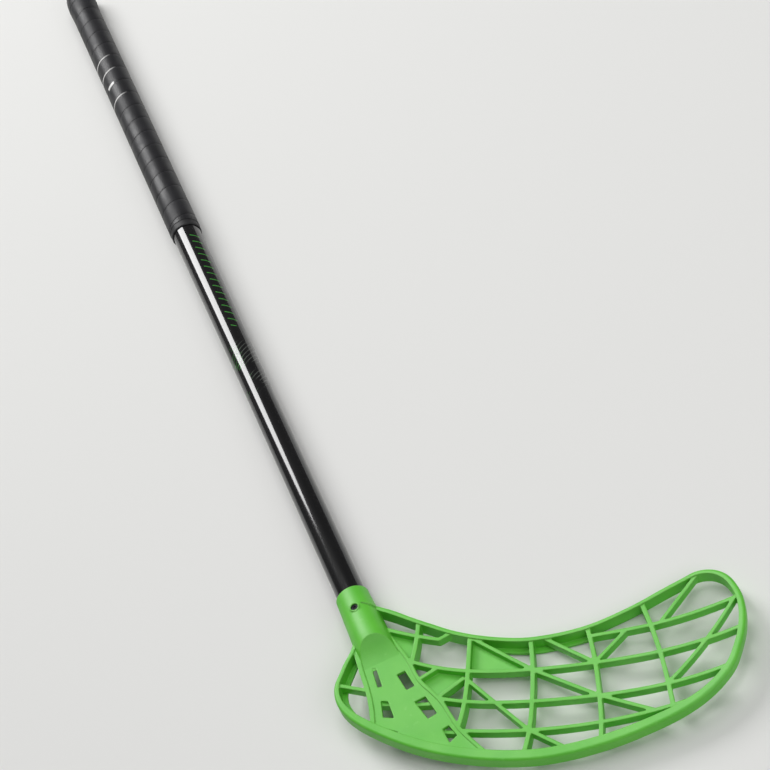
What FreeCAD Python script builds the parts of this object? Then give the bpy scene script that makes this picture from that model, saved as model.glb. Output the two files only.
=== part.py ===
import FreeCAD, Part
import math
import os

os.makedirs("parts", exist_ok=True)

V = FreeCAD.Vector

# Shaft: a hollow tapered tube along +Y, measured from the root of the blade's plane
SHAFT_LENGTH = 907.0
SHAFT_FOOT = 62.0
SHAFT_LOW_R = 11.0
SHAFT_TOP_R = 12.4
SHAFT_WALL = 1.5
TAPER_LENGTH = 223.0

# Fits
SLIDE_FIT = 0.05
SCREW_FIT = 0.05

# Lying pose: the hosel's thick end and the knob share one radius and touch the floor
REST_R = 14.5
BLADE_LIE = 26.0
BLADE_ROLL = 7.15

# Grip: one strip wound around the top of the shaft, with an end ring and a knob
GRIP_THICK = 1.4
GRIP_LENGTH = 359.0
GRIP_PITCH = 22.0
GRIP_SEAM = 0.6
END_RING_LENGTH = 7.0
END_RING_DROP = 0.3
KNOB_GAP = 0.3
KNOB_LENGTH = 38.7
KNOB_PEAK = 0.55
KNOB_NOSE_R = 13.2

# Butt cap
CAP_PLUG = 26.0
CAP_LIP = 3.6
CAP_LIP_R = 12.2
CAP_EDGE = 0.8
CAP_BORE_WALL = 2.0

# Blade: lattice moulding in its own plane, U along the chord, V across, W towards the front
HOOK_START = 60.0
HOOK_END = 297.0
HOOK_RISE = 28.0
TIP_SHARE = 0.55
RIM_FRONT = 6.0
RIM_BACK = -6.0
RIB_FRONT = 5.2
RAIL_BACK = -1.7
FIN_FRONT = 0.0
FIN_BACK = -5.7
FIN_DRAFT = 0.3
PLATE_FRONT = 4.5
PLATE_BACK = 1.9
WEB_FRONT = 0.2
WEB_BACK = -1.4
LIP_FRONT = -3.6
LIP_BACK = -5.6
UNDER_FRONT = 2.3
UNDER_BACK = -3.6
RIM_ROUND = 2.0
RAIL_W = 2.7
POST_W = 3.2
BRACE_W = 2.6
WALL_W = 3.4
LIP_W = 4.4
CORNER_ROUNDS = [0.7, 0.45]
CORNER_TURN = 25.0

# Hosel
HOSEL_TOP = -10.0
HOSEL_RIM_R = 12.7
HOSEL_BODY = 56.0
HOSEL_RIM_ROUND = 1.0
SCOOP_TOP = 60.0
SCOOP_END = 84.0
SCOOP_LEVEL = 4.2
WEDGE_BACK = 66.0
RIDGE = [(5.4, -28.6), (13.8, -30.2), (13.8, -33.6)]
RIDGE_RISE = 0.7

# Blade screws
SCREW_Y = -30.5
SCREW_SHANK_R = 1.45
SCREW_HEAD_R = 2.8
SCREW_HEAD_H = 1.3
SCREW_SINK = 0.5
SCREW_REACH = 5.0
SCREW_SOCKET_R = 1.3
SCREW_SOCKET_H = 0.8
SCREW_BOSS_R = 3.9
SCREW_BOSS_RISE = 0.45

# Outer edge of the blade, clockwise from the hosel: U, V and the rim's width there
OUTLINE = [
    (15.0, -21.5, 4.0), (31.0, -24.2, 3.8), (61.0, -37.8, 3.8), (91.0, -50.4, 3.8),
    (121.0, -58.0, 3.9), (146.0, -60.6, 4.0), (181.0, -57.2, 3.8), (211.0, -47.8, 3.6),
    (248.6, -31.4, 3.8), (266.0, -25.9, 4.0), (282.4, -32.0, 4.4), (293.4, -48.8, 4.6),
    (297.4, -68.0, 5.0), (295.2, -89.6, 5.2), (286.4, -112.4, 5.6), (263.0, -133.4, 6.4),
    (223.0, -149.4, 7.2), (183.0, -158.4, 7.6), (148.0, -160.8, 7.8), (108.0, -156.3, 7.8),
    (67.6, -145.5, 7.4), (29.2, -127.3, 6.4), (9.2, -111.2, 5.0), (1.8, -94.0, 3.9),
    (5.0, -76.0, 3.5), (11.2, -56.0, 3.4), (11.0, -36.0, 4.0)]

# Lattice lines as points on the front face
RAILS = [
    [(57.0, -73.0), (98.6, -84.2), (146.5, -88.2), (191.5, -88.8), (237.3, -87.6), (292.5, -79.0)],
    [(79.0, -105.0), (98.7, -109.3), (147.5, -114.2), (195.4, -115.8), (243.6, -114.4), (287.5, -107.0)],
    [(98.4, -132.9), (146.8, -137.2), (197.4, -137.2), (229.0, -134.6), (259.0, -129.8)],
    [(186.2, -66.2), (205.0, -65.6), (230.3, -64.4), (263.0, -60.2), (292.0, -53.6)],
    [(34.0, -43.2), (59.0, -51.4), (76.0, -55.6)],
    [(4.5, -89.6), (28.0, -95.6)]]
POSTS = [
    [(98.6, -55.6), (99.2, -84.2), (98.7, -109.3), (95.6, -129.6)],
    [(143.4, -62.6), (146.5, -88.2), (147.5, -114.2), (146.8, -137.2), (143.6, -155.0)],
    [(184.6, -59.4), (191.5, -88.8), (195.4, -115.8), (197.4, -137.2), (197.6, -151.0)],
    [(223.2, -45.0), (230.3, -64.4), (237.3, -87.6), (243.6, -114.4), (247.9, -136.4)],
    [(58.8, -38.6), (59.0, -51.4), (57.2, -73.4)]]
BRACES = [
    [(100.5, -57.0), (146.5, -88.2)],
    [(153.0, -62.8), (191.5, -88.6)],
    [(146.5, -88.2), (195.4, -115.8)],
    [(97.6, -89.8), (146.8, -137.2)],
    [(146.8, -137.2), (175.5, -155.2)],
    [(195.4, -115.8), (234.6, -133.7)],
    [(191.5, -88.2), (213.0, -65.0)],
    [(237.0, -63.6), (262.0, -29.8)],
    [(243.6, -113.6), (268.6, -85.6), (289.0, -54.6)],
    [(75.4, -55.6), (84.0, -50.4)],
    [(63.0, -88.8), (77.4, -79.0)],
    [(79.0, -104.6), (97.0, -89.6)]]

# Closed webs, the heel plate and its windows
WEBS = [
    [(37.0, -45.0), (58.0, -51.5), (57.0, -72.0), (52.0, -68.0)],
    [(63.5, -88.0), (77.0, -79.0), (99.0, -84.5), (97.0, -90.5), (79.5, -105.0)],
    [(99.5, -58.0), (144.0, -87.0), (99.5, -84.5)]]
PLATE = [
    (13.0, -55.0), (19.6, -79.0), (25.0, -93.0), (29.4, -107.0), (32.4, -122.0), (33.6, -125.2),
    (66.0, -140.6), (108.0, -151.8), (119.0, -153.4), (107.0, -141.0), (97.0, -130.0), (80.4, -105.0),
    (64.4, -88.0), (57.0, -75.0), (36.0, -46.0), (24.0, -24.0)]
PLATE_LEFT = [(13.4, -57.0), (20.6, -79.0), (26.0, -93.0), (30.4, -107.0), (33.6, -125.0)]
PLATE_RIGHT = [
    (22.6, -22.6), (35.4, -46.0), (56.0, -74.4), (63.4, -88.0), (79.4, -105.0), (96.0, -130.0),
    (106.0, -141.0), (118.4, -153.0)]
WINDOWS = [
    [(28.0, -76.6), (30.8, -76.2), (37.2, -92.4), (33.8, -92.8)],
    [(46.9, -82.9), (52.6, -80.0), (61.0, -93.2), (55.4, -96.4)],
    [(37.4, -104.2), (42.6, -104.8), (48.6, -119.0), (40.4, -118.0)],
    [(62.0, -106.4), (69.6, -102.4), (79.4, -117.0), (73.2, -121.0)],
    [(84.2, -130.2), (88.6, -127.4), (95.4, -136.0), (90.6, -141.6)],
    [(46.0, -128.0), (52.6, -130.4), (52.2, -132.0), (45.6, -129.6)]]
WINDOW_ROUND = 0.6

# Ribs that pass behind the plate, and the narrow back lips of the rim
UNDER_RIBS = [
    [(30.0, -104.8), (54.0, -107.0), (81.0, -107.4)],
    [(60.0, -127.6), (97.0, -132.8)]]
BACK_LIPS = [
    [(104.0, -60.0), (124.0, -64.2), (146.0, -67.0), (164.0, -65.8), (188.0, -61.6)],
    [(12.6, -66.0), (9.0, -80.0), (7.4, -93.0), (12.0, -105.0), (20.0, -113.6)]]

# Values worked out from the sizes above
GRIP_R0 = SHAFT_TOP_R + SLIDE_FIT
GRIP_R1 = GRIP_R0 + GRIP_THICK
SHAFT_TOP_Y = SHAFT_LENGTH - SHAFT_FOOT
KNOB_START = SHAFT_TOP_Y - KNOB_LENGTH
GRIP_END = KNOB_START - KNOB_GAP
GRIP_START = GRIP_END - GRIP_LENGTH
RING_END = GRIP_START - SLIDE_FIT
RING_START = RING_END - END_RING_LENGTH
HOSEL_BORE_R = SHAFT_LOW_R + SLIDE_FIT


def turned(profile):
    """A solid of revolution about the Y axis from (radius, y) points."""
    points = [V(r, y, 0) for r, y in profile]
    face = Part.Face(Part.makePolygon(points + [points[0]]))
    return face.revolve(V(0, 0, 0), V(0, 1, 0), 360)


def rounded_polygon(points, radius):
    """A face with straight sides whose corners are rounded by one radius."""
    corners = [V(u, v, 0) for u, v in points]
    count = len(corners)
    cuts = []
    for i in range(count):
        here = corners[i]
        back = (corners[i - 1] - here).normalize()
        ahead = (corners[(i + 1) % count] - here).normalize()
        half = back.getAngle(ahead) / 2
        reach = radius / math.tan(half)
        middle = (back + ahead).normalize()
        touch = here + middle * (radius / math.sin(half) - radius)
        cuts.append((here + back * reach, touch, here + ahead * reach))
    edges = []
    for i in range(count):
        start, touch, end = cuts[i]
        edges.append(Part.Arc(start, touch, end).toShape())
        edges.append(Part.makeLine(end, cuts[(i + 1) % count][0]))
    return Part.Face(Part.Wire(edges))


def plain_polygon(points):
    """A flat face with straight sides."""
    corners = [V(u, v, 0) for u, v in points]
    return Part.Face(Part.makePolygon(corners + [corners[0]]))


def smooth(points):
    """An edge through points: a line for two of them, otherwise a curve."""
    if len(points) == 2:
        return Part.makeLine(points[0], points[1])
    curve = Part.BSplineCurve()
    curve.interpolate(points)
    return curve.toShape()


def side_steps(points, closed):
    """Unit vectors square to a row of points, on its right-hand side."""
    steps = []
    last = len(points) - 1
    for i in range(len(points)):
        before = points[i - 1] if i > 0 or closed else points[i]
        after = points[(i + 1) % len(points)] if i < last or closed else points[i]
        along = (after - before).normalize()
        steps.append(V(along.y, -along.x, 0))
    return steps


def strip(line, width):
    """A ribbon face of even width along a row of points."""
    points = [V(u, v, 0) for u, v in line]
    steps = side_steps(points, False)
    right = [p + s * (width / 2) for p, s in zip(points, steps)]
    left = [p - s * (width / 2) for p, s in zip(points, steps)]
    edges = [smooth(right), Part.makeLine(right[-1], left[-1])]
    edges += [smooth(left[::-1]), Part.makeLine(left[0], right[0])]
    return Part.Face(Part.Wire(edges))


def arc_between(start, heading, end):
    """The arc that leaves a point along a heading and ends at another point."""
    chord = end - start
    square = V(-heading.y, heading.x, 0)
    across = 2 * chord.dot(square)
    if abs(across) < 1e-6 * chord.Length:
        return Part.makeLine(start, end)
    radius = chord.dot(chord) / across
    centre = start + square * radius
    out = (start + end) * 0.5 - centre
    side = 1 if out.dot(heading) >= 0 or chord.dot(heading) >= 0 else -1
    return Part.Arc(start, centre + out.normalize() * abs(radius) * side, end).toShape()


def closed_curve(points):
    """A face inside a smooth closed line of arcs, two for each step between points."""
    count = len(points)
    headings = [(points[(i + 1) % count] - points[i - 1]).normalize() for i in range(count)]
    edges = []
    for i in range(count):
        start, end = points[i], points[(i + 1) % count]
        out, into = headings[i], headings[(i + 1) % count]
        chord = end - start
        both = out + into
        b = 2 * chord.dot(both)
        a = 2 * (1 - out.dot(into))
        c = chord.dot(chord)
        reach = c / b if a < 1e-9 else (-b + math.sqrt(b * b + 4 * a * c)) / (2 * a)
        middle = (start + out * reach + end - into * reach) * 0.5
        turn = (end - into * reach - start - out * reach).normalize()
        edges.append(arc_between(start, out, middle))
        edges.append(arc_between(middle, turn, end))
    return Part.Face(Part.Wire(edges))


def slab(front, back):
    """The hooked blade's thickness between two levels, flat at the heel and bent and thinned to the tip."""
    near, far = -40.0, HOOK_END + 20
    run = HOOK_END - HOOK_START
    bend_r = (run ** 2 + HOOK_RISE ** 2) / (2 * HOOK_RISE)

    def on_arc(u, w):
        part = (u - HOOK_START) / run
        w *= 1 - (1 - TIP_SHARE) * part if w < 0 else 1
        angle = math.asin((u - HOOK_START) / bend_r)
        return V(HOOK_START + (bend_r - w) * math.sin(angle), 0, bend_r - (bend_r - w) * math.cos(angle))

    def level(w):
        joint = V(HOOK_START, 0, w)
        bend = Part.Arc(joint, on_arc((HOOK_START + far) / 2, w), on_arc(far, w)).toShape()
        return [Part.makeLine(V(near, 0, w), joint), bend]
    ends = [Part.makeLine(V(near, 0, front), V(near, 0, back)),
            Part.makeLine(on_arc(far, front), on_arc(far, back))]
    face = Part.Face(Part.Wire(Part.__sortEdges__(level(front) + level(back) + ends)))
    face.translate(V(0, -200, 0))
    return face.extrude(V(0, 260, 0))


def joined(faces):
    """Flat faces that overlap, as one flat shape."""
    if len(faces) == 1:
        return faces[0]
    return Part.makeShell(faces[0].fuse(faces[1:]).Faces).removeSplitter()


def layer(flat, front, back):
    """Upright walls on a flat shape, kept between two levels of the hooked blade."""
    walls = flat.copy()
    walls.translate(V(0, 0, -30))
    return walls.extrude(V(0, 0, 90)).common(slab(front, back))


def softened(shape, edges, radius):
    """Round the named edges, or leave them sharp where the round won't fit."""
    try:
        result = shape.makeFillet(radius, edges)
        return result if result.isValid() and result.Volume > 0 else shape
    except Part.OCCError:
        return shape


def inner_edge(share):
    """A face inside the rim's outer edge, drawn in by a share of the rim's width."""
    outer = [V(u, v, 0) for u, v, w in OUTLINE]
    steps = side_steps(outer, True)
    return closed_curve([p + s * (row[2] * share) for p, s, row in zip(outer, steps, OUTLINE)])


def middle_of(edge):
    """The point halfway along an edge."""
    return edge.valueAt((edge.FirstParameter + edge.LastParameter) / 2)


def corners_of(prism):
    """The upright edges of a prism where its walls turn sharply."""
    found = []
    for edge in prism.Edges:
        if abs(edge.Vertexes[0].Z - edge.Vertexes[-1].Z) < 1:
            continue
        place = middle_of(edge)
        walls = prism.ancestorsOfType(edge, Part.Face)
        normals = [wall.normalAt(*wall.Surface.parameter(place)) for wall in walls]
        if len(normals) == 2 and math.degrees(normals[0].getAngle(normals[1])) > CORNER_TURN:
            found.append(edge)
    return found


def corner_rounded(prism, place):
    """Round a prism's corner at a place by the first radius that fits."""
    near = [edge for edge in corners_of(prism) if middle_of(edge).distanceToPoint(place) < 0.01]
    for radius in CORNER_ROUNDS:
        rounded = softened(prism, near, radius)
        if rounded is not prism:
            return rounded
    return prism


def openings(ribs):
    """Prisms through the lattice's openings, with their corners rounded as far as they fit."""
    prisms = []
    for hole in inner_edge(1).cut(ribs).Faces:
        hole.translate(V(0, 0, -30))
        prism = hole.extrude(V(0, 0, 90))
        corners = corners_of(prism)
        rounded = softened(prism, corners, CORNER_ROUNDS[0])
        if rounded is prism:
            for place in [middle_of(edge) for edge in corners]:
                rounded = corner_rounded(rounded, place)
        prisms.append(rounded)
    return prisms


def make_rim():
    """The closed rim, still with square edges."""
    solid = layer(inner_edge(0), RIM_FRONT, RIM_BACK)
    hole = inner_edge(1)
    hole.translate(V(0, 0, -30))
    return solid.cut(hole.extrude(V(0, 0, 90)))


def rim_edges(body):
    """The long edges of a body that run along the blade's outer edge, front and back."""
    loop = inner_edge(0).OuterWire
    found = []
    for edge in body.Edges:
        half = (edge.FirstParameter + edge.LastParameter) / 2
        place = edge.valueAt(half)
        upright = abs(edge.tangentAt(half).z) > 0.9
        if not upright and loop.distToShape(Part.Vertex(place.x, place.y, 0))[0] < 0.01:
            found.append(edge)
    return found


def make_lattice():
    """Rails, posts, braces, fins, webs, plate and lips, trimmed inside the rim."""
    ribs = [strip(r, RAIL_W) for r in RAILS] + [strip(p, POST_W) for p in POSTS]
    ribs += [strip(b, BRACE_W) for b in BRACES]
    ribs += [strip(PLATE_LEFT, WALL_W), strip(PLATE_RIGHT, RAIL_W)]
    fins = [strip(p, POST_W - FIN_DRAFT) for p in POSTS]
    fins += [strip(PLATE_LEFT, WALL_W - FIN_DRAFT), strip(PLATE_RIGHT, RAIL_W - FIN_DRAFT)]
    plate = plain_polygon(PLATE).cut([rounded_polygon(w, WINDOW_ROUND) for w in WINDOWS])
    room = inner_edge(0.5)

    def inside(faces):
        return joined(faces).common(room)
    return [
        layer(room, RIB_FRONT, RAIL_BACK).cut(openings(ribs)),
        layer(inside(fins), FIN_FRONT, FIN_BACK),
        layer(inside([plate]), PLATE_FRONT, PLATE_BACK),
        layer(inside([plain_polygon(w) for w in WEBS]), WEB_FRONT, WEB_BACK),
        layer(inside([strip(r, RAIL_W) for r in UNDER_RIBS]), UNDER_FRONT, UNDER_BACK),
        layer(inside([strip(b, LIP_W) for b in BACK_LIPS]), LIP_FRONT, LIP_BACK)]


def to_stick(shape):
    """Turn a shape from the blade's plane into the stick's frame."""
    shape.rotate(V(0, 0, 0), V(0, 0, 1), -BLADE_LIE)
    shape.rotate(V(0, 0, 0), V(0, 1, 0), BLADE_ROLL)
    return shape


def screw_line(shape):
    """Move a shape built along +Z above the origin to the screws' place on the hosel."""
    shape.translate(V(0, SCREW_Y, 0))
    return shape


def hosel_radius(y):
    """Outer radius of the hosel's cone at a height along the shaft."""
    return HOSEL_RIM_R + (REST_R - HOSEL_RIM_R) * (HOSEL_TOP - y) / (HOSEL_TOP + HOSEL_BODY)


SCREW_SEAT = hosel_radius(SCREW_Y) - SCREW_SINK - SCREW_HEAD_H


def make_hosel():
    """The socket's outside: a slow cone scooped out towards the plate, and two screw bosses."""
    rim = HOSEL_RIM_ROUND
    cone = turned([
        (0, HOSEL_TOP), (HOSEL_RIM_R - rim, HOSEL_TOP), (HOSEL_RIM_R, HOSEL_TOP - rim),
        (REST_R, -HOSEL_BODY), (REST_R, -SCOOP_END), (0, -SCOOP_END)])
    wide = 2 * REST_R
    run, drop = SCOOP_END - SCOOP_TOP, REST_R - SCOOP_LEVEL
    scoop_r = (run ** 2 + drop ** 2) / (2 * drop)
    half = math.asin(run / scoop_r) / 2
    middle = V(-wide, scoop_r * math.sin(half) - SCOOP_END, SCOOP_LEVEL + scoop_r * (1 - math.cos(half)))
    lip, end = V(-wide, -SCOOP_TOP, REST_R), V(-wide, -SCOOP_END, SCOOP_LEVEL)
    around = [end, V(-wide, -WEDGE_BACK, -REST_R), V(-wide, -WEDGE_BACK, -wide), V(-wide, HOSEL_TOP, -wide),
              V(-wide, HOSEL_TOP, wide), V(-wide, -SCOOP_TOP, wide), lip]
    edges = Part.makePolygon(around).Edges + [Part.Arc(lip, middle, end).toShape()]
    wedge = Part.Face(Part.Wire(Part.__sortEdges__(edges))).extrude(V(2 * wide, 0, 0))
    body = cone.common(wedge)
    body.rotate(V(0, 0, 0), V(0, 1, 0), BLADE_ROLL)
    reach = hosel_radius(SCREW_Y) + SCREW_BOSS_RISE
    boss = screw_line(Part.makeCylinder(SCREW_BOSS_R, 2 * reach, V(0, 0, -reach)))
    ridge = plain_polygon(RIDGE).extrude(V(0, 0, 2 * REST_R))
    skin_r = hosel_radius(RIDGE[0][1]) + RIDGE_RISE
    skin = Part.makeCylinder(skin_r, HOSEL_BODY, V(0, 0, 0), V(0, -1, 0))
    return body.fuse([boss, ridge.common(skin)])


def make_blade():
    """The whole moulding: rim, lattice and hosel, with its bore and screw holes."""
    body = make_rim().fuse(make_lattice())
    body = softened(body, rim_edges(body), RIM_ROUND)
    body = to_stick(body).fuse(make_hosel())
    bore = turned([(0, 5), (HOSEL_BORE_R, 5), (HOSEL_BORE_R, -SHAFT_FOOT - SLIDE_FIT),
                   (0, -SHAFT_FOOT - SLIDE_FIT)])
    reach = 2 * REST_R
    through = Part.makeCylinder(SCREW_SHANK_R + SCREW_FIT, 2 * reach, V(0, 0, -reach))
    pockets = [Part.makeCylinder(SCREW_HEAD_R + SCREW_FIT, reach, V(0, 0, SCREW_SEAT)),
               Part.makeCylinder(SCREW_HEAD_R + SCREW_FIT, reach, V(0, 0, -SCREW_SEAT - reach))]
    holes = screw_line(through.fuse(pockets))
    return body.cut([bore, holes]).removeSplitter()


def make_shaft():
    """The hollow tube: even below, a taper, then even under the grip."""
    low, top = SHAFT_LOW_R, SHAFT_TOP_R
    outside = [(low, -SHAFT_FOOT), (low, RING_START - TAPER_LENGTH), (top, RING_START), (top, SHAFT_TOP_Y)]
    inside = [(r - SHAFT_WALL, y) for r, y in outside[::-1]]
    tube = turned(outside + inside)
    hole = Part.makeCylinder(SCREW_SHANK_R + SCREW_FIT, 4 * low, V(0, 0, -2 * low))
    return tube.cut(screw_line(hole))


def make_screw(turn):
    """A cheese-head screw with a hex socket, seated in the hosel's pocket."""
    head = Part.makeCylinder(SCREW_HEAD_R, SCREW_HEAD_H, V(0, 0, SCREW_SEAT))
    shank = Part.makeCylinder(SCREW_SHANK_R, SCREW_REACH, V(0, 0, SCREW_SEAT - SCREW_REACH))
    top = SCREW_SEAT + SCREW_HEAD_H
    ring = [(SCREW_SOCKET_R * math.cos(math.radians(60 * k)),
             SCREW_SOCKET_R * math.sin(math.radians(60 * k))) for k in range(6)]
    socket = plain_polygon(ring)
    socket.translate(V(0, 0, top - SCREW_SOCKET_H))
    screw = head.fuse(shank).cut(socket.extrude(V(0, 0, SCREW_SOCKET_H + 1))).removeSplitter()
    screw.rotate(V(0, 0, 0), V(0, 1, 0), turn)
    return screw_line(screw)


def make_grip():
    """One strip wound edge to edge around the shaft, joined turn by turn and trimmed square."""
    width = GRIP_PITCH - GRIP_SEAM
    low = GRIP_START - 1.5 * GRIP_PITCH
    section = Part.makePolygon([V(GRIP_R0, 0, 0), V(GRIP_R1, 0, 0), V(GRIP_R1, 0, width),
                                V(GRIP_R0, 0, width), V(GRIP_R0, 0, 0)])
    turn = Part.Wire(Part.makeHelix(GRIP_PITCH, GRIP_PITCH, GRIP_R0)).makePipeShell([section], True, True)
    turns = []
    for k in range(math.ceil((GRIP_END - low) / GRIP_PITCH + 0.5)):
        copy = turn.copy()
        copy.translate(V(0, 0, low + GRIP_PITCH * k))
        turns.append(copy)
    coil = turns[0].fuse(turns[1:])
    coil.rotate(V(0, 0, 0), V(1, 0, 0), -90)
    keep = turned([(0, GRIP_START), (GRIP_R1 + 5, GRIP_START), (GRIP_R1 + 5, GRIP_END), (0, GRIP_END)])
    return coil.common(keep)


def make_end_ring():
    """The short ring that closes the wound strip at its lower end."""
    outer = GRIP_R1 - END_RING_DROP
    return turned([(GRIP_R0, RING_START), (outer - 0.5, RING_START), (outer, RING_START + 0.8),
                   (outer, RING_END), (GRIP_R0, RING_END)])


def make_knob():
    """The flared collar at the top of the grip."""
    peak = KNOB_START + KNOB_LENGTH * KNOB_PEAK
    curve = Part.BSplineCurve()
    curve.interpolate([V(GRIP_R1, KNOB_START, 0),
                       V(GRIP_R1 * 0.6 + REST_R * 0.4, KNOB_START + KNOB_LENGTH * 0.28, 0),
                       V(REST_R, peak, 0), V(REST_R * 0.985, peak + KNOB_LENGTH * 0.25, 0),
                       V(KNOB_NOSE_R, SHAFT_TOP_Y, 0)])
    edges = [Part.makeLine(V(GRIP_R0, KNOB_START, 0), V(GRIP_R1, KNOB_START, 0)), curve.toShape(),
             Part.makeLine(V(KNOB_NOSE_R, SHAFT_TOP_Y, 0), V(GRIP_R0, SHAFT_TOP_Y, 0)),
             Part.makeLine(V(GRIP_R0, SHAFT_TOP_Y, 0), V(GRIP_R0, KNOB_START, 0))]
    return Part.Face(Part.Wire(edges)).revolve(V(0, 0, 0), V(0, 1, 0), 360)


def make_cap():
    """The butt cap: a hollow plug in the tube and a flat lip over its end."""
    plug = SHAFT_TOP_R - SHAFT_WALL - SLIDE_FIT
    seat = SHAFT_TOP_Y + SLIDE_FIT
    top = seat + CAP_LIP
    bore = plug - CAP_BORE_WALL
    return turned([
        (0, top), (CAP_LIP_R - CAP_EDGE, top), (CAP_LIP_R, top - CAP_EDGE), (CAP_LIP_R, seat),
        (plug, seat), (plug, SHAFT_TOP_Y - CAP_PLUG), (bore, SHAFT_TOP_Y - CAP_PLUG), (bore, seat),
        (0, seat)])


def strip_gap():
    """Least distance between neighbouring turns of the wound strip, on points of its edges."""
    width = GRIP_PITCH - GRIP_SEAM
    least = GRIP_PITCH
    for i in range(72):
        angle = math.radians(5 * i)
        upper = V(GRIP_R0 * math.cos(angle), width + GRIP_PITCH * i / 72, GRIP_R0 * math.sin(angle))
        for k in range(-8, 9):
            turn = math.radians(5 * (i + k))
            lift = GRIP_PITCH * (i + k) / 72 + GRIP_PITCH
            lower = V(GRIP_R0 * math.cos(turn), lift, GRIP_R0 * math.sin(turn))
            least = min(least, upper.distanceToPoint(lower))
    return least


NODES = {
    "blade": make_blade(),
    "shaft_tube": make_shaft(),
    "blade_screw_front": make_screw(0),
    "blade_screw_back": make_screw(180),
    "grip_wrap": make_grip(),
    "grip_end_ring": make_end_ring(),
    "knob_collar": make_knob(),
    "butt_cap": make_cap()}

# Frame: the middle of the underside is the origin, with the floor at Z = 0
BOX = FreeCAD.BoundBox()
for shape in NODES.values():
    BOX.add(shape.optimalBoundingBox(False))
HOME = V(-BOX.Center.x, -BOX.Center.y, -BOX.ZMin)
for name, shape in NODES.items():
    shape.translate(HOME)
    shape.exportStep("parts/" + name + ".step")
    print(name, shape.ShapeType, len(shape.Solids), shape.isValid(), round(shape.Volume / 1000, 2))
print("box", BOX)
print("home", HOME)
print("least gap between turns", round(strip_gap(), 3))
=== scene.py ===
"""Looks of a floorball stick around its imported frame.

The lattice blade, the lacquered shaft, the wound grip and the butt cap get their finishes here.
"""

import logging
import math
from dataclasses import dataclass
from enum import Enum

import bmesh
import bpy
from mathutils import Matrix, Quaternion, Vector


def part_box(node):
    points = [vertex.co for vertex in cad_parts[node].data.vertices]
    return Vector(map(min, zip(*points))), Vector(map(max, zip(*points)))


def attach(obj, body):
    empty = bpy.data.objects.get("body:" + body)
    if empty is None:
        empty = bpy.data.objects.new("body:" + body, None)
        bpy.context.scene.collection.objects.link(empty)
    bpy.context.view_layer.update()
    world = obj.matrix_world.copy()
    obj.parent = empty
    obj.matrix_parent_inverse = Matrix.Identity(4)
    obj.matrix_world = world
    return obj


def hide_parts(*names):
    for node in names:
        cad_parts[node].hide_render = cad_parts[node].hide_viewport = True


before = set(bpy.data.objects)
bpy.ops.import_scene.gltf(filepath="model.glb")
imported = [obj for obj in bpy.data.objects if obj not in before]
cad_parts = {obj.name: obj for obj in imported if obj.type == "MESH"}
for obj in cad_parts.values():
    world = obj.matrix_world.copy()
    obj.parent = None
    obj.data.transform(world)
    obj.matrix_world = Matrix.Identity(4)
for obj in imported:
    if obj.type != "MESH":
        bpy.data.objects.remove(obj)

LOG = logging.getLogger("floorball_stick")
MM = 0.001
FULL_TURN = 2 * math.pi

# Screen curve between 8-bit values and linear light
SCREEN_TOP = 255
SCREEN_KNEE = 0.04045
SCREEN_SLOPE = 12.92
SCREEN_LIFT = 0.055
SCREEN_POWER = 2.4

Colour = tuple[float, float, float]
Place = tuple[float, float, float]
Span = tuple[float, float]
Material = bpy.types.Material
Piece = bpy.types.Object
ShaderNode = bpy.types.Node
Socket = bpy.types.NodeSocket
Tree = bpy.types.NodeTree

RISE: Span = (0.0, 1.0)
FALL: Span = (1.0, 0.0)


class Slot(Enum):
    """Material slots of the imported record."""

    STRIP = "grip_strip"


class Node(Enum):
    """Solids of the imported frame."""

    BLADE = "blade"
    SHAFT = "shaft_tube"
    FRONT_SCREW = "blade_screw_front"
    BACK_SCREW = "blade_screw_back"
    WRAP = "grip_wrap"
    RING = "grip_end_ring"
    KNOB = "knob_collar"
    CAP = "butt_cap"


class Body(Enum):
    """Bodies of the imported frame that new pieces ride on."""

    STICK = "stick"


class LampShape(Enum):
    """Outlines of a lamp's face."""

    PANEL = "RECTANGLE"
    OVAL = "ELLIPSE"


def srgb(red: int, green: int, blue: int) -> Colour:
    """A linear colour from 8-bit screen values.

    Args:
        red: Red from 0 to 255.
        green: Green from 0 to 255.
        blue: Blue from 0 to 255.

    Returns:
        The colour as Blender's nodes take it.
    """
    def linear(value: int) -> float:
        """One channel without its screen curve."""
        share = value / SCREEN_TOP
        if share <= SCREEN_KNEE:
            return share / SCREEN_SLOPE
        return ((share + SCREEN_LIFT) / (1 + SCREEN_LIFT)) ** SCREEN_POWER
    return linear(red), linear(green), linear(blue)


@dataclass(frozen=True)
class StickAxis:
    """The shaft's centre line in the row frame, in metres."""

    x: float
    foot: float
    z: float

    @classmethod
    def from_frame(cls, foot_below_root: float) -> "StickAxis":
        """Read the line from the shaft's solid.

        Args:
            foot_below_root: How far the shaft's lower end lies below the root of the blade.

        Returns:
            The axis, with stations counted from the blade's root.
        """
        low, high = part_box(Node.SHAFT.value)
        return cls((low.x + high.x) / 2, low.y + foot_below_root, (low.z + high.z) / 2)

    def at(self, station: float) -> Vector:
        """A point on the axis at a station from the blade's root."""
        return Vector((self.x, self.foot + station, self.z))


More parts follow.
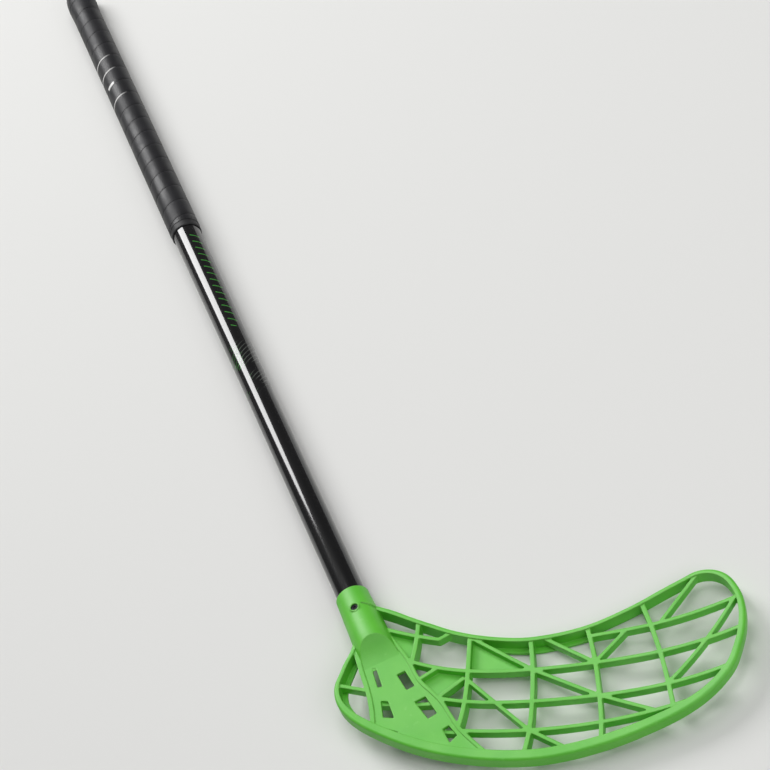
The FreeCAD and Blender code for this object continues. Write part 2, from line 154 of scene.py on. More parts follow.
class Graph:
    """A thin layer over a node tree that adds nodes and joins their sockets."""

    # Socket numbers of the Mix node when it mixes colours
    MIX_SHARE = 0
    MIX_FIRST = 6
    MIX_SECOND = 7
    MIX_RESULT = 2

    def __init__(self, tree: Tree) -> None:
        """Keep the tree."""
        self.tree = tree

    def feed(self, socket: Socket, value: object) -> None:
        """Link a socket to another one, or set its value.

        Args:
            socket: The input to fill.
            value: An output socket, or a plain value.
        """
        if isinstance(value, bpy.types.NodeSocket):
            self.tree.links.new(value, socket)
        elif isinstance(value, tuple) and len(value) == 3 and socket.type == "RGBA":
            socket.default_value = (*value, 1.0)
        else:
            socket.default_value = value

    def add(self, kind: str, inputs: dict | None = None, **settings: object) -> ShaderNode:
        """Add a node.

        Args:
            kind: The node's type name.
            inputs: Values or sockets by input name or number.
            **settings: Properties of the node itself.

        Returns:
            The new node.
        """
        node = self.tree.nodes.new(kind)
        for name, value in settings.items():
            setattr(node, name, value)
        for key, value in (inputs or {}).items():
            self.feed(node.inputs[key], value)
        return node

    def math(self, operation: str, first: object, second: object = 0.0) -> Socket:
        """A sum, quotient or like step of two values."""
        return self.add("ShaderNodeMath", {0: first, 1: second}, operation=operation).outputs[0]

    def product(self, first: object, *others: object) -> Socket:
        """Multiply two or more values.

        Args:
            first: The first value.
            *others: The values that it is multiplied with in turn.

        Returns:
            The product.
        """
        result = first
        for other in others:
            result = self.math("MULTIPLY", result, other)
        return result

    def mix(self, share: object, first: object, second: object) -> Socket:
        """Blend two colours.

        Args:
            share: How much of the second colour there is.
            first: The first colour.
            second: The second colour.

        Returns:
            The blended colour.
        """
        values = {self.MIX_SHARE: share, self.MIX_FIRST: first, self.MIX_SECOND: second}
        return self.add("ShaderNodeMix", values, data_type="RGBA").outputs[self.MIX_RESULT]

    def ramp(self, value: object, span: Span, ends: Span = RISE) -> Socket:
        """A smooth step between two levels.

        Args:
            value: What is measured.
            span: Where the step starts and where it ends.
            ends: The results before the step and after it.

        Returns:
            The stepped value.
        """
        levels = {"Value": value, "From Min": span[0], "From Max": span[1],
                  "To Min": ends[0], "To Max": ends[1]}
        node = self.add("ShaderNodeMapRange", levels, interpolation_type="SMOOTHSTEP")
        return node.outputs["Result"]

    def window(self, value: object, span: Span, soft: float) -> Socket:
        """A mask that is one between two levels.

        Args:
            value: What is measured.
            span: The two levels.
            soft: The width over which the mask fades outside them.

        Returns:
            The mask.
        """
        low, high = span
        rise = self.ramp(value, (low - soft, low))
        return self.product(rise, self.ramp(value, (high, high + soft), FALL))

    def noise(self, place: Socket, scale: object, detail: float, twist: float = 0.0) -> Socket:
        """Soft noise over a place, from 0 to 1."""
        inputs = {"Vector": place, "Scale": scale, "Detail": detail, "Distortion": twist}
        return self.add("ShaderNodeTexNoise", inputs).outputs[0]

    def stretch(self, place: Socket, factors: Place) -> Socket:
        """A place with each direction scaled by its own factor."""
        inputs = {0: place, 1: factors}
        return self.add("ShaderNodeVectorMath", inputs, operation="MULTIPLY").outputs[0]

    def bump(self, height: Socket, strength: float, depth: float, **under: Socket) -> Socket:
        """A normal that follows a height, over another Normal where one is given."""
        inputs = {"Height": height, "Strength": strength, "Distance": depth, **under}
        return self.add("ShaderNodeBump", inputs).outputs[0]

    def group(self, tree: Tree, **inputs: object) -> ShaderNode:
        """Place a shared node group.

        Args:
            tree: The group.
            **inputs: Values or sockets by input name.

        Returns:
            The group's node.
        """
        node = self.add("ShaderNodeGroup", node_tree=tree)
        for name, value in inputs.items():
            self.feed(node.inputs[name], value)
        return node


class Effects:
    """Shader node groups that several finishes share."""

    PORE_SHARE = 0.6
    FINE_DETAIL = 3.0
    SLOW_SCALE = 0.03
    SLOW_DETAIL = 2.0
    TINT_SPAN: Span = (0.35, 0.65)
    EDGE_SAMPLES = 6
    EDGE_SPAN: Span = (0.995, 0.86)
    SMEAR_DETAIL = 4.0
    SMEAR_TWIST = 0.6
    SMEAR_SPAN: Span = (0.38, 0.68)
    SCUFF_SCALE = 9.0
    SCUFF_DETAIL = 5.0
    SCUFF_SPAN: Span = (0.62, 0.74)

    def __init__(self) -> None:
        """Build each group once."""
        self.grain = self._grain()
        self.edges = self._edges()
        self.handling = self._handling()
        self.helix = self._helix()

    @staticmethod
    def _start(name: str, inputs: dict[str, str],
               outputs: dict[str, str]) -> tuple[Graph, dict[str, Socket], dict[str, Socket]]:
        """Make an empty group with named sockets.

        Args:
            name: The group's name.
            inputs: Socket kinds by input name.
            outputs: Socket kinds by output name.

        Returns:
            The group's graph, its input sockets and its output sockets by name.
        """
        tree = bpy.data.node_groups.new(name, "ShaderNodeTree")
        for side, sockets in (("INPUT", inputs), ("OUTPUT", outputs)):
            for label, kind in sockets.items():
                tree.interface.new_socket(name=label, in_out=side, socket_type="NodeSocket" + kind)
        graph = Graph(tree)
        entry = graph.add("NodeGroupInput")
        leave = graph.add("NodeGroupOutput")
        return graph, dict(entry.outputs.items()), dict(leave.inputs.items())

    def _grain(self) -> Tree:
        """Fine moulded or foamed grain.

        Returns:
            A group that gives a height and a slow tint.
        """
        graph, given, result = self._start(
            "surface_grain", {"Vector": "Vector", "Scale": "Float"},
            {"Height": "Float", "Tint": "Float"})
        place, scale = given["Vector"], given["Scale"]
        pores = graph.add("ShaderNodeTexVoronoi", {"Vector": place, "Scale": scale})
        fine = graph.noise(place, scale, self.FINE_DETAIL)
        slow = graph.noise(place, graph.product(scale, self.SLOW_SCALE), self.SLOW_DETAIL)
        depth = graph.product(pores.outputs["Distance"], self.PORE_SHARE)
        graph.feed(result["Height"], graph.math("ADD", depth, fine))
        graph.feed(result["Tint"], graph.ramp(slow, self.TINT_SPAN))
        return graph.tree

    def _edges(self) -> Tree:
        """Softened edges.

        Returns:
            A group that gives a rounded normal and a mask of where the edges are.
        """
        graph, given, result = self._start(
            "soft_edges", {"Radius": "Float"}, {"Edge": "Float", "Normal": "Vector"})
        bevel = graph.add(
            "ShaderNodeBevel", {"Radius": given["Radius"]}, samples=self.EDGE_SAMPLES)
        plain = graph.add("ShaderNodeNewGeometry")
        turn = graph.add("ShaderNodeVectorMath", {0: bevel.outputs[0], 1: plain.outputs["Normal"]},
                         operation="DOT_PRODUCT")
        graph.feed(result["Edge"], graph.ramp(turn.outputs["Value"], self.EDGE_SPAN))
        graph.feed(result["Normal"], bevel.outputs[0])
        return graph.tree

    def _handling(self) -> Tree:
        """Marks left by use.

        Returns:
            A group that gives masks of broad smears and of small scuffs.
        """
        graph, given, result = self._start(
            "handling_marks", {"Vector": "Vector", "Scale": "Float"},
            {"Smear": "Float", "Scuff": "Float"})
        place, scale = given["Vector"], given["Scale"]
        broad = graph.noise(place, scale, self.SMEAR_DETAIL, self.SMEAR_TWIST)
        small = graph.noise(place, graph.product(scale, self.SCUFF_SCALE), self.SCUFF_DETAIL)
        graph.feed(result["Smear"], graph.ramp(broad, self.SMEAR_SPAN))
        graph.feed(result["Scuff"], graph.ramp(small, self.SCUFF_SPAN))
        return graph.tree

    def _helix(self) -> Tree:
        """Places on a shaft along Y.

        Returns:
            A group that gives the station, the angle, and the turn along a winding with its phase.
        """
        graph, given, result = self._start(
            "helix_place", {"Vector": "Vector", "Pitch": "Float"},
            {"Along": "Float", "Angle": "Float", "Turn": "Float", "Phase": "Float"})
        split = graph.add("ShaderNodeSeparateXYZ", {0: given["Vector"]})
        along = split.outputs["Y"]
        back = graph.product(split.outputs["Z"], -1.0)
        angle = graph.math("ARCTAN2", back, split.outputs["X"])
        turn = graph.math("SUBTRACT", graph.math("DIVIDE", along, given["Pitch"]),
                          graph.math("DIVIDE", angle, FULL_TURN))
        phase = graph.math("FRACT", turn)
        for label, value in (("Along", along), ("Angle", angle), ("Turn", turn), ("Phase", phase)):
            graph.feed(result[label], value)
        return graph.tree


class Finish:
    """What all finishes share: a material with one Principled shader."""

    @staticmethod
    def _begin(name: str, **constants: object) -> tuple[Material, Graph, ShaderNode, Socket]:
        """Start a material.

        Args:
            name: The material's name.
            **constants: Values of the shader's own sockets, with _ for a space.

        Returns:
            The material, its graph, its shader and its object coordinates.
        """
        material = bpy.data.materials.new(name)
        material.use_nodes = True
        material.node_tree.nodes.clear()
        graph = Graph(material.node_tree)
        shader = graph.add("ShaderNodeBsdfPrincipled",
                           {label.replace("_", " "): value for label, value in constants.items()})
        graph.add("ShaderNodeOutputMaterial", {"Surface": shader.outputs[0]})
        place = graph.add("ShaderNodeTexCoord").outputs["Object"]
        return material, graph, shader, place

    @staticmethod
    def _about(graph: Graph, place: Socket, origin: Vector) -> Socket:
        """Object coordinates counted from a point."""
        return graph.add("ShaderNodeMapping", {"Vector": place, "Location": -origin}).outputs[0]


@dataclass(frozen=True)
class MouldedPlastic(Finish):
    """Satin moulded plastic or rubber with softened edges, painted paler there as a highlight."""

    name: str
    colour: Colour
    deep: Colour
    highlight_and_scuff_colour: Colour
    edge_highlight_and_wear_share: float = 0.45
    edge_radius: float = 0.7 * MM
    roughness: float = 0.36
    gloss: float = 0.45
    grain_scale: float = 1500.0
    grain_depth: float = 0.05 * MM
    grain_strength: float = 0.35
    tint_share: float = 0.5
    marks_scale: float = 22.0
    scuff_share: float = 0.18
    smear_dulling: float = 0.12

    def material(self, effects: Effects) -> Material:
        """Build the material.

        Args:
            effects: The shared node groups.

        Returns:
            The finished material.
        """
        material, graph, shader, place = self._begin(self.name, Specular_IOR_Level=self.gloss)
        edges = graph.group(effects.edges, Radius=self.edge_radius)
        grain = graph.group(effects.grain, Vector=place, Scale=self.grain_scale)
        marks = graph.group(effects.handling, Vector=place, Scale=self.marks_scale)
        tint = graph.product(grain.outputs["Tint"], self.tint_share)
        scuff = graph.product(marks.outputs["Scuff"], self.scuff_share)
        # Painted highlight: the softened edges are mixed towards the pale highlight colour, as if
        # they caught the light; scuffs take that colour as real wear.
        edge = graph.product(edges.outputs["Edge"], self.edge_highlight_and_wear_share)
        body = graph.mix(tint, self.colour, self.deep)
        body = graph.mix(scuff, body, self.highlight_and_scuff_colour)
        graph.feed(shader.inputs["Base Color"], graph.mix(edge, body, self.highlight_and_scuff_colour))
        dull = graph.product(marks.outputs["Smear"], self.smear_dulling)
        graph.feed(shader.inputs["Roughness"], graph.math("ADD", dull, self.roughness))
        normal = graph.bump(grain.outputs["Height"], self.grain_strength, self.grain_depth,
                            Normal=edges.outputs["Normal"])
        graph.feed(shader.inputs["Normal"], normal)
        return material


@dataclass(frozen=True)
class LacqueredLaminate(Finish):
    """Near-black fibre tube under clear lacquer, printed with hairlines and a row of strokes.

    Rows are stations along the shaft, sides are angles about it, and inks are shares of a pitch.
    """

    axis: StickAxis
    colour: Colour
    fibre: Colour
    print_colour: Colour
    print_grey: Colour
    fibre_scale: float = 900.0
    fibre_detail: float = 3.0
    fibre_stretch: Place = (1.0, 0.03, 1.0)
    fibre_span: Span = (0.4, 0.75)
    fibre_share: float = 0.5
    hair_rows: Span = (0.226, 0.268)
    hair_rows_soft: float = 14.0 * MM
    hair_pitch: float = 4.6 * MM
    hair_lead: float = 62.0 * MM
    hair_ink: Span = (0.44, 0.56)
    hair_ink_soft: float = 0.1
    hair_grey_side: Span = (-1.9, -1.2)
    patch_scale: float = 60.0
    patch_detail: float = 1.0
    patch_span: Span = (0.4, 0.58)
    stroke_rows: Span = (0.298, 0.428)
    stroke_rows_soft: float = 1.0 * MM
    stroke_pitch: float = 9.0 * MM
    stroke_slant: float = 6.0 * MM
    stroke_ink: Span = (0.42, 0.5)
    stroke_ink_soft: float = 0.05
    stroke_side: Span = (-1.25, -0.6)
    stroke_side_soft: float = 0.04
    marks_scale: float = 35.0
    gloss: float = 0.05
    roughness: float = 0.35
    smear_dulling: float = 0.1
    coat_roughness: float = 0.07
    coat_ior: float = 1.55
    scuffed_coat: float = 0.85

    def _hairlines(self, graph: Graph, near: Socket, turns: ShaderNode) -> Socket:
        """Ink of the fine lines that wind round the tube, broken up softly.

        Args:
            graph: The material's graph.
            near: Places counted from the blade's root.
            turns: The places along the lines.

        Returns:
            The ink's mask.
        """
        count = self.hair_lead / self.hair_pitch
        phase = graph.math("FRACT", graph.product(turns.outputs["Turn"], count))
        line = graph.window(phase, self.hair_ink, self.hair_ink_soft)
        band = graph.window(turns.outputs["Along"], self.hair_rows, self.hair_rows_soft)
        patch = graph.noise(near, self.patch_scale, self.patch_detail)
        return graph.product(line, band, graph.ramp(patch, self.patch_span))

    def _strokes(self, graph: Graph, turns: ShaderNode) -> Socket:
        """Ink of the short slanted strokes in a row along the tube's upper right.

        Args:
            graph: The material's graph.
            turns: The places along and about the tube.

        Returns:
            The ink's mask.
        """
        along, angle = turns.outputs["Along"], turns.outputs["Angle"]
        slanted = graph.math("ADD", along, graph.product(angle, self.stroke_slant))
        phase = graph.math("FRACT", graph.math("DIVIDE", slanted, self.stroke_pitch))
        stroke = graph.window(phase, self.stroke_ink, self.stroke_ink_soft)
        row = graph.window(along, self.stroke_rows, self.stroke_rows_soft)
        side = graph.window(angle, self.stroke_side, self.stroke_side_soft)
        return graph.product(stroke, row, side)

    def material(self, effects: Effects) -> Material:
        """Build the material.

        Args:
            effects: The shared node groups.

        Returns:
            The finished material.
        """
        material, graph, shader, place = self._begin(
            "black_lacquer", Coat_Roughness=self.coat_roughness, Specular_IOR_Level=self.gloss,
            Coat_IOR=self.coat_ior)
        near = self._about(graph, place, self.axis.at(0.0))
        turns = graph.group(effects.helix, Vector=near, Pitch=self.hair_lead)
        drawn = graph.stretch(near, self.fibre_stretch)
        fibres = graph.noise(drawn, self.fibre_scale, self.fibre_detail)
        tone = graph.product(graph.ramp(fibres, self.fibre_span), self.fibre_share)
        body = graph.mix(tone, self.colour, self.fibre)
        side = graph.ramp(turns.outputs["Angle"], self.hair_grey_side)
        hair_colour = graph.mix(side, self.print_colour, self.print_grey)
        body = graph.mix(self._hairlines(graph, near, turns), body, hair_colour)
        body = graph.mix(self._strokes(graph, turns), body, self.print_colour)
        graph.feed(shader.inputs["Base Color"], body)
        marks = graph.group(effects.handling, Vector=near, Scale=self.marks_scale)
        dull = graph.product(marks.outputs["Smear"], self.smear_dulling)
        graph.feed(shader.inputs["Roughness"], graph.math("ADD", dull, self.roughness))
        coat = graph.ramp(marks.outputs["Scuff"], RISE, (1.0, self.scuffed_coat))
        graph.feed(shader.inputs["Coat Weight"], coat)
        return material


@dataclass(frozen=True)
class WoundStrip(Finish):
    """Foamed grip strip with fine pores, faint creases, painted shade along its seams, and pale
    lines on a few seams that are partly piping and partly a painted highlight.

    Rows are stations along the shaft, sides are angles about it, and lines are widths on the strip.
    """

    axis: StickAxis
    start: float
    pitch: float
    seam: float
    radius: float
    colour: Colour
    worn: Colour
    seam_shade: Colour
    piping_and_highlight: Colour
    worn_share: float = 0.6
    seam_shade_line: Span = (0.1 * MM, 0.5 * MM)
    seam_shade_share: float = 0.4
    piping_rows: Span = (0.640, 0.722)
    piping_rows_soft: float = 2.0 * MM
    piping_line: Span = (0.6 * MM, 1.0 * MM)
    piping_highlight_side: Span = (-2.75, -1.75)
    piping_highlight_side_soft: float = 0.75
    dash_rows: Span = (0.660, 0.684)
    dash_rows_soft: float = 1.5 * MM
    dash_line: Span = (1.7 * MM, 2.0 * MM)
    dash_lift: float = 1.5 * MM
    dash_side: Span = (-2.28, -1.7)
    dash_side_soft: float = 0.08
    marks_scale: float = 28.0
    gloss: float = 0.36
    roughness: float = 0.42
    smear_dulling: float = 0.12
    grain_scale: float = 900.0
    crease_scale: float = 240.0
    crease_detail: float = 3.0
    crease_stretch: Place = (1.0, 0.3, 1.0)
    crease_weight: float = 2.0
    bump_strength: float = 0.4
    bump_depth: float = 0.12 * MM

    def _off_seam(self, graph: Graph, turns: ShaderNode) -> Socket:
        """Distance from the middle of the nearest seam, with its sign.

        Args:
            graph: The material's graph.
            turns: The places along the winding.

        Returns:
            The distance along the shaft.
        """
        half = 0.5
        shift = half + self.seam / self.pitch / 2
        centred = graph.math("FRACT", graph.math("ADD", turns.outputs["Phase"], shift))
        return graph.product(graph.math("SUBTRACT", centred, half), self.pitch)

    def _piping_and_highlight(self, graph: Graph, turns: ShaderNode, signed: Socket, off_seam: Socket) -> Socket:
        """Mask of the thin pale lines on the seams, partly piping and partly a painted highlight
        where the seams catch the light, and of one short thick dash.

        Args:
            graph: The material's graph.
            turns: The places along the winding.
            signed: Distance from the nearest seam, with its sign.
            off_seam: The same distance without its sign.

        Returns:
            The ink's mask.
        """
        angle = turns.outputs["Angle"]
        station = graph.math("ADD", turns.outputs["Along"], self.start)
        rows = graph.window(station, self.piping_rows, self.piping_rows_soft)
        gap = graph.window(station, self.dash_rows, self.dash_rows_soft)
        # Painted highlight in part: the seam lines are drawn only over a band of angles on the lit
        # side and fade out beyond it.
        thin = graph.product(graph.ramp(off_seam, self.piping_line, FALL),
                             graph.window(angle, self.piping_highlight_side, self.piping_highlight_side_soft),
                             rows, graph.ramp(gap, RISE, FALL))
        off_dash = graph.math("ABSOLUTE", graph.math("SUBTRACT", signed, self.dash_lift))
        thick = graph.product(graph.ramp(off_dash, self.dash_line, FALL),
                              graph.window(angle, self.dash_side, self.dash_side_soft), gap)
        return graph.math("MAXIMUM", thin, thick)

    def material(self, effects: Effects) -> Material:
        """Build the material.

        Args:
            effects: The shared node groups.

        Returns:
            The finished material.
        """
        material, graph, shader, place = self._begin(
            "foamed_grip_strip", Specular_IOR_Level=self.gloss)
        near = self._about(graph, place, self.axis.at(self.start))
        turns = graph.group(effects.helix, Vector=near, Pitch=self.pitch)
        grain = graph.group(effects.grain, Vector=place, Scale=self.grain_scale)
        marks = graph.group(effects.handling, Vector=place, Scale=self.marks_scale)
        signed = self._off_seam(graph, turns)
        off_seam = graph.math("ABSOLUTE", signed)
        # Painted shade: the colour darkens close to each seam, as if shade fell into the gap
        # between turns.
        seam_shade = graph.product(graph.ramp(off_seam, self.seam_shade_line, FALL), self.seam_shade_share)
        worn = graph.product(marks.outputs["Smear"], self.worn_share)
        body = graph.mix(worn, self.colour, self.worn)
        body = graph.mix(seam_shade, body, self.seam_shade)
        piping_and_highlight_mask = self._piping_and_highlight(graph, turns, signed, off_seam)
        graph.feed(shader.inputs["Base Color"], graph.mix(piping_and_highlight_mask, body, self.piping_and_highlight))
        dull = graph.product(marks.outputs["Smear"], self.smear_dulling)
        graph.feed(shader.inputs["Roughness"], graph.math("ADD", dull, self.roughness))
        drawn = graph.stretch(near, self.crease_stretch)
        creases = graph.noise(drawn, self.crease_scale, self.crease_detail)
        height = graph.math(
            "ADD", grain.outputs["Height"], graph.product(creases, self.crease_weight))
        graph.feed(shader.inputs["Normal"],
                   graph.bump(height, self.bump_strength, self.bump_depth))
        return material


@dataclass(frozen=True)
class BlackedSteel(Finish):
    """Blackened screw steel, rubbed bright on its edges."""

    colour: Colour
    bright: Colour
    edge_radius: float = 0.2 * MM
    edge_highlight_and_wear_share: float = 0.6
    roughness: float = 0.32
    tint_dulling: float = 0.15
    grain_scale: float = 3000.0
    grain_strength: float = 0.3
    grain_depth: float = 0.02 * MM

    def material(self, effects: Effects) -> Material:
        """Build the material.

        Args:
            effects: The shared node groups.

        Returns:
            The finished material.
        """
        material, graph, shader, place = self._begin("blacked_steel", Metallic=1.0)
        edges = graph.group(effects.edges, Radius=self.edge_radius)
        grain = graph.group(effects.grain, Vector=place, Scale=self.grain_scale)
        rubbed = graph.product(edges.outputs["Edge"], self.edge_highlight_and_wear_share)
        graph.feed(shader.inputs["Base Color"], graph.mix(rubbed, self.colour, self.bright))
        dull = graph.product(grain.outputs["Tint"], self.tint_dulling)
        graph.feed(shader.inputs["Roughness"], graph.math("ADD", dull, self.roughness))
        normal = graph.bump(grain.outputs["Height"], self.grain_strength, self.grain_depth,
                            Normal=edges.outputs["Normal"])
        graph.feed(shader.inputs["Normal"], normal)
        return material


def dress(piece: Piece, material: Material) -> None:
    """Give a piece one material.

    Args:
        piece: The object to dress.
        material: Its finish.
    """
    piece.data.materials.clear()
    piece.data.materials.append(material)
    LOG.info("%s wears %s", piece.name, material.name)


@dataclass
class Blade:
    """The moulded blade with its two screws."""

    plastic: MouldedPlastic
    steel: BlackedSteel

    def dress(self, effects: Effects) -> None:
        """Dress the blade and the screws.

        Args:
            effects: The shared node groups.
        """
        dress(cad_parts[Node.BLADE.value], self.plastic.material(effects))
        steel = self.steel.material(effects)
        for node in (Node.FRONT_SCREW, Node.BACK_SCREW):
            dress(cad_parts[node.value], steel)


@dataclass
class Shaft:
    """The lacquered tube."""

    lacquer: LacqueredLaminate

    def dress(self, effects: Effects) -> None:
        """Dress the tube."""
        dress(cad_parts[Node.SHAFT.value], self.lacquer.material(effects))


@dataclass
class Grip:
    """The wound strip over the shaft and its flared end, with the ring that closes it."""

    axis: StickAxis
    strip: WoundStrip
    rubber: MouldedPlastic
    thickness: float = 1.4 * MM
    edge_round: float = 0.35 * MM
    edge_segments: int = 4
    cuts_across: int = 5
    steps_per_turn: int = 72
    spare_turns: int = 1
    merge_distance: float = 0.005 * MM
    sharp_degrees: float = 50.0
    flare_peak: float = 0.55
    flare_nose: float = 13.2 * MM
    flare_power: float = 2.2

    def _one_turn(self, base: float) -> bmesh.types.BMesh:
        """One open turn of the strip, with its outer edges rounded.

        Args:
            base: Where the turn starts along the shaft.

        Returns:
            The turn's walls, without ends.
        """
        mesh = bmesh.new()
        outer = self.strip.radius
        inner = outer - self.thickness
        width = self.strip.pitch - self.strip.seam
        corners = [(inner, 0), (outer, 0), (outer, width), (inner, width)]
        section = [mesh.verts.new((self.axis.x + arm, base + along, self.axis.z))
                   for arm, along in corners]
        mesh.faces.new(section)
        bmesh.ops.bevel(mesh, geom=section[1:3], offset=self.edge_round, affect="VERTICES",
                        segments=self.edge_segments, profile=0.5, material=-1)
        # The face goes first, or the cuts would join across it and leave walls inside the strip
        bmesh.ops.delete(mesh, geom=mesh.faces[:], context="FACES_ONLY")
        long_sides = [edge for edge in mesh.edges if edge.calc_length() > width / 2]
        bmesh.ops.subdivide_edges(mesh, edges=long_sides, cuts=self.cuts_across)
        bmesh.ops.spin(mesh, geom=mesh.verts[:] + mesh.edges[:], cent=self.axis.at(0.0),
                       axis=(0, 1, 0), dvec=(0, self.strip.pitch / self.steps_per_turn, 0),
                       angle=FULL_TURN, steps=self.steps_per_turn, use_merge=False,
                       use_duplicate=False)
        return mesh

    def _winding(self, low: Vector, high: Vector) -> bmesh.types.BMesh:
        """Wind the strip between two heights.

        Args:
            low: The low corner of the box that it fills.
            high: The high corner of that box.

        Returns:
            The closed strip, trimmed flat at both ends.
        """
        pitch = self.strip.pitch
        origin = self.axis.foot + self.strip.start
        first = math.floor((low.y - origin) / pitch) - self.spare_turns
        count = math.ceil((high.y - low.y) / pitch) + 2 * self.spare_turns + 1
        mesh = self._one_turn(origin + first * pitch)
        turn = mesh.verts[:] + mesh.edges[:] + mesh.faces[:]
        for number in range(1, count):
            copy = bmesh.ops.duplicate(mesh, geom=turn)["geom"]
            verts = [item for item in copy if isinstance(item, bmesh.types.BMVert)]
            bmesh.ops.translate(mesh, verts=verts, vec=(0, number * pitch, 0))
        bmesh.ops.remove_doubles(mesh, verts=mesh.verts[:], dist=self.merge_distance)
        for place, side in ((low.y, -1), (high.y, 1)):
            bmesh.ops.bisect_plane(mesh, geom=mesh.verts[:] + mesh.edges[:] + mesh.faces[:],
                                   plane_co=(0, place, 0), plane_no=(0, side, 0),
                                   clear_outer=True)
        rims = [edge for edge in mesh.edges if edge.is_boundary]
        bmesh.ops.holes_fill(mesh, edges=rims, sides=0)
        bmesh.ops.recalc_face_normals(mesh, faces=mesh.faces[:])
        return mesh

    def _flare(self, mesh: bmesh.types.BMesh) -> None:
        """Swell the outside of the strip to the flared end's outline.

        Args:
            mesh: The wound strip.
        """
        low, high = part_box(Node.KNOB.value)
        outer = self.strip.radius
        inner = outer - self.thickness
        peak = high.x - self.axis.x
        for vert in mesh.verts:
            share = (vert.co.y - low.y) / (high.y - low.y)
            if share <= 0:
                continue
            if share < self.flare_peak:
                rise = share / self.flare_peak
                swell = (peak - outer) * rise * rise * (3 - 2 * rise)
            else:
                fall = (share - self.flare_peak) / (1 - self.flare_peak)
                swell = peak - outer - (peak - self.flare_nose) * fall ** self.flare_power
            arm = vert.co - self.axis.at(vert.co.y - self.axis.foot)
            depth = (arm.length - inner) / self.thickness
            vert.co += arm.normalized() * swell * depth

    def _wound(self, name: str, node: Node) -> Piece:
        """Make the strip over the length of one solid.

        Args:
            name: The new piece's name.
            node: The solid that the piece stands for.

        Returns:
            The strip as an object on the stick's body.
        """
        mesh = self._winding(*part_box(node.value))
        self._flare(mesh)
        data = bpy.data.meshes.new(name)
        mesh.to_mesh(data)
        mesh.free()
        data.shade_smooth()
        data.set_sharp_from_angle(angle=math.radians(self.sharp_degrees))
        piece = bpy.data.objects.new(name, data)
        bpy.context.scene.collection.objects.link(piece)
        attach(piece, Body.STICK.value)
        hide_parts(node.value)
        return piece

    def build(self, effects: Effects) -> None:
        """Wind the strip over both solids and dress it and the ring.

        Args:
            effects: The shared node groups.
        """
        material = self.strip.material(effects)
        dress(self._wound("grip_strip_wound", Node.WRAP), material)
        dress(self._wound("knob_strip_wound", Node.KNOB), material)
        dress(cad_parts[Node.RING.value], self.rubber.material(effects))


@dataclass
class ButtCap:
    """The plug at the end of the shaft."""

    plastic: MouldedPlastic

    def dress(self, effects: Effects) -> None:
        """Dress the cap."""
        dress(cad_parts[Node.CAP.value], self.plastic.material(effects))


@dataclass(frozen=True)
class Lamp:
    """One soft lamp, aimed at a point, with its width along a given direction."""

    name: str
    place: Place
    aim: Place
    width: float
    height: float
    power: float
    along: Place = (1.0, 0.0, 0.0)
    shape: LampShape = LampShape.PANEL

    def build(self) -> None:
        """Hang the lamp."""
        data = bpy.data.lights.new(self.name, "AREA")
        data.shape = self.shape.value
        data.size = self.width
        data.size_y = self.height
        data.energy = self.power
        lamp = bpy.data.objects.new(self.name, data)
        lamp.location = self.place
        back = (Vector(self.place) - Vector(self.aim)).normalized()
        up = back.cross(Vector(self.along)).normalized()
        turned = Matrix((up.cross(back), up, back)).transposed()
        lamp.rotation_mode = "QUATERNION"
        lamp.rotation_quaternion = turned.to_quaternion()
        lamp.visible_camera = False
        bpy.context.scene.collection.objects.link(lamp)
        LOG.info("lamp %s", self.name)


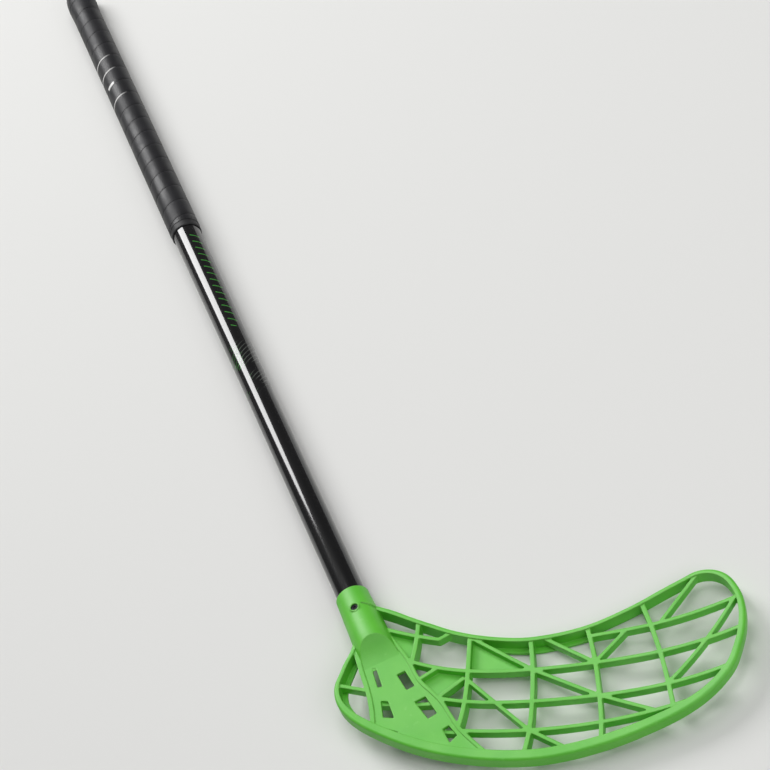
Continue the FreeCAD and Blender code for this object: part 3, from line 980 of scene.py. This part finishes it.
@dataclass
class Studio:
    """Pale floor, soft lamps and the camera."""

    lamps: tuple[Lamp, ...]
    floor_side: float = 60.0
    floor_colour: Colour = srgb(226, 226, 224)
    floor_paler: float = 1.02
    floor_roughness: float = 0.9
    floor_gloss: float = 0.1
    floor_scale: float = 0.33
    floor_detail: float = 2.0
    haze_reach: Span = (1.5, 3.2)
    sky_colour: Colour = (1.0, 1.0, 1.0)
    sky: float = 0.14
    camera_place: Place = (0.05265, -1.32293, 1.24246)
    camera_aim: Place = (-0.00815, -0.13059, 0.0)
    camera_twist: float = -31.59
    focal_pixels: float = 2150.0
    image_pixels: float = 770.0

    def build(self) -> None:
        """Set the floor, the light and the camera."""
        self._floor()
        for lamp in self.lamps:
            lamp.build()
        world = bpy.data.worlds.new("studio_air")
        bpy.context.scene.world = world
        world.use_nodes = True
        air = world.node_tree.nodes["Background"]
        graph = Graph(world.node_tree)
        graph.feed(air.inputs["Color"], self.sky_colour)
        graph.feed(air.inputs["Strength"], self.sky)
        bpy.context.scene.view_settings.view_transform = "Standard"
        self._camera()

    def _floor_paint(self) -> Material:
        """Faintly uneven matt paint that turns to a plain pale haze far from the stick.

        Returns:
            The floor's material.
        """
        material = bpy.data.materials.new("pale_floor")
        material.use_nodes = True
        graph = Graph(material.node_tree)
        shader = material.node_tree.nodes["Principled BSDF"]
        graph.feed(shader.inputs["Roughness"], self.floor_roughness)
        graph.feed(shader.inputs["Specular IOR Level"], self.floor_gloss)
        place = graph.add("ShaderNodeTexCoord").outputs["Object"]
        cloud = graph.noise(place, self.floor_scale, self.floor_detail)
        paler = tuple(min(1.0, channel * self.floor_paler) for channel in self.floor_colour)
        graph.feed(shader.inputs["Base Color"], graph.mix(cloud, self.floor_colour, paler))
        ray = graph.add("ShaderNodeLightPath").outputs
        clear = graph.math("MAXIMUM", ray["Is Glossy Ray"], ray["Is Transmission Ray"])
        seen = graph.math("MAXIMUM", ray["Is Camera Ray"], clear)
        reach = graph.add("ShaderNodeVectorMath", {0: place}, operation="LENGTH").outputs["Value"]
        far = graph.product(seen, graph.ramp(reach, self.haze_reach))
        haze = graph.add("ShaderNodeEmission", {"Color": self.floor_colour})
        blend = graph.add(
            "ShaderNodeMixShader", {0: far, 1: shader.outputs[0], 2: haze.outputs[0]})
        output = material.node_tree.nodes["Material Output"]
        graph.feed(output.inputs["Surface"], blend.outputs[0])
        return material

    def _floor(self) -> None:
        """Lay the floor."""
        mesh = bmesh.new()
        bmesh.ops.create_grid(mesh, x_segments=1, y_segments=1, size=self.floor_side / 2)
        data = bpy.data.meshes.new("floor")
        mesh.to_mesh(data)
        mesh.free()
        floor = bpy.data.objects.new("floor", data)
        bpy.context.scene.collection.objects.link(floor)
        data.materials.append(self._floor_paint())

    def _camera(self) -> None:
        """Place the camera at the photograph's viewing angle."""
        data = bpy.data.cameras.new("camera")
        data.lens = data.sensor_width * self.focal_pixels / self.image_pixels
        camera = bpy.data.objects.new("camera", data)
        look = (Vector(self.camera_aim) - Vector(self.camera_place)).to_track_quat("-Z", "Y")
        twist = Quaternion((0, 0, 1), math.radians(self.camera_twist))
        camera.location = self.camera_place
        camera.rotation_mode = "QUATERNION"
        camera.rotation_quaternion = look @ twist
        bpy.context.scene.collection.objects.link(camera)
        bpy.context.scene.camera = camera


def main() -> None:
    """Build the stick's looks in order."""
    logging.basicConfig(level=logging.INFO, format="%(name)s: %(message)s")
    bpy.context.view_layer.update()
    effects = Effects()
    axis = StickAxis.from_frame(foot_below_root=62.0 * MM)

    green = MouldedPlastic(
        "green_moulding", colour=srgb(94, 195, 48), deep=srgb(80, 186, 37),
        highlight_and_scuff_colour=srgb(142, 218, 104), edge_radius=1.2 * MM, roughness=0.46, gloss=0.8)
    steel = BlackedSteel(colour=srgb(46, 46, 48), bright=srgb(120, 120, 122))
    Blade(green, steel).dress(effects)

    lacquer = LacqueredLaminate(
        axis, colour=srgb(7, 7, 8), fibre=srgb(16, 16, 18), print_colour=srgb(58, 136, 50),
        print_grey=srgb(76, 80, 76))
    Shaft(lacquer).dress(effects)

    wrap_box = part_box(Node.WRAP.value)
    strip = WoundStrip(
        axis, start=0.414, pitch=22.0 * MM, seam=0.15 * MM, radius=wrap_box[1].x - axis.x,
        colour=srgb(25, 25, 28), worn=srgb(33, 33, 37), seam_shade=srgb(10, 10, 11),
        piping_and_highlight=srgb(226, 226, 224))
    rubber = MouldedPlastic(
        "soft_black_rubber", colour=srgb(30, 30, 32), deep=srgb(24, 24, 26),
        highlight_and_scuff_colour=srgb(66, 66, 68), edge_radius=0.4 * MM, roughness=0.5)
    Grip(axis, strip, rubber).build(effects)

    black = MouldedPlastic(
        "matt_black_moulding", colour=srgb(36, 36, 38), deep=srgb(28, 28, 30),
        highlight_and_scuff_colour=srgb(74, 74, 76), roughness=0.48)
    ButtCap(black).dress(effects)

    back_light = Lamp(
        "back_light", place=(-1.14, 3.04, 2.28), aim=(0.0, -0.1, 0.0), width=2.2, height=1.65,
        power=105.0, along=(0.894, 0.0, 0.449), shape=LampShape.OVAL)
    top_box = Lamp(
        "top_box", place=(0.3, 0.35, 2.6), aim=(0.1, 0.1, 0.0), width=2.0, height=2.7, power=33.0)
    front_fill = Lamp(
        "front_fill", place=(0.9, -2.0, 1.6), aim=(0.0, -0.3, 0.0), width=2.0, height=1.5,
        power=18.0)
    Studio((back_light, top_box, front_fill)).build()


if __name__ == "__main__":
    main()
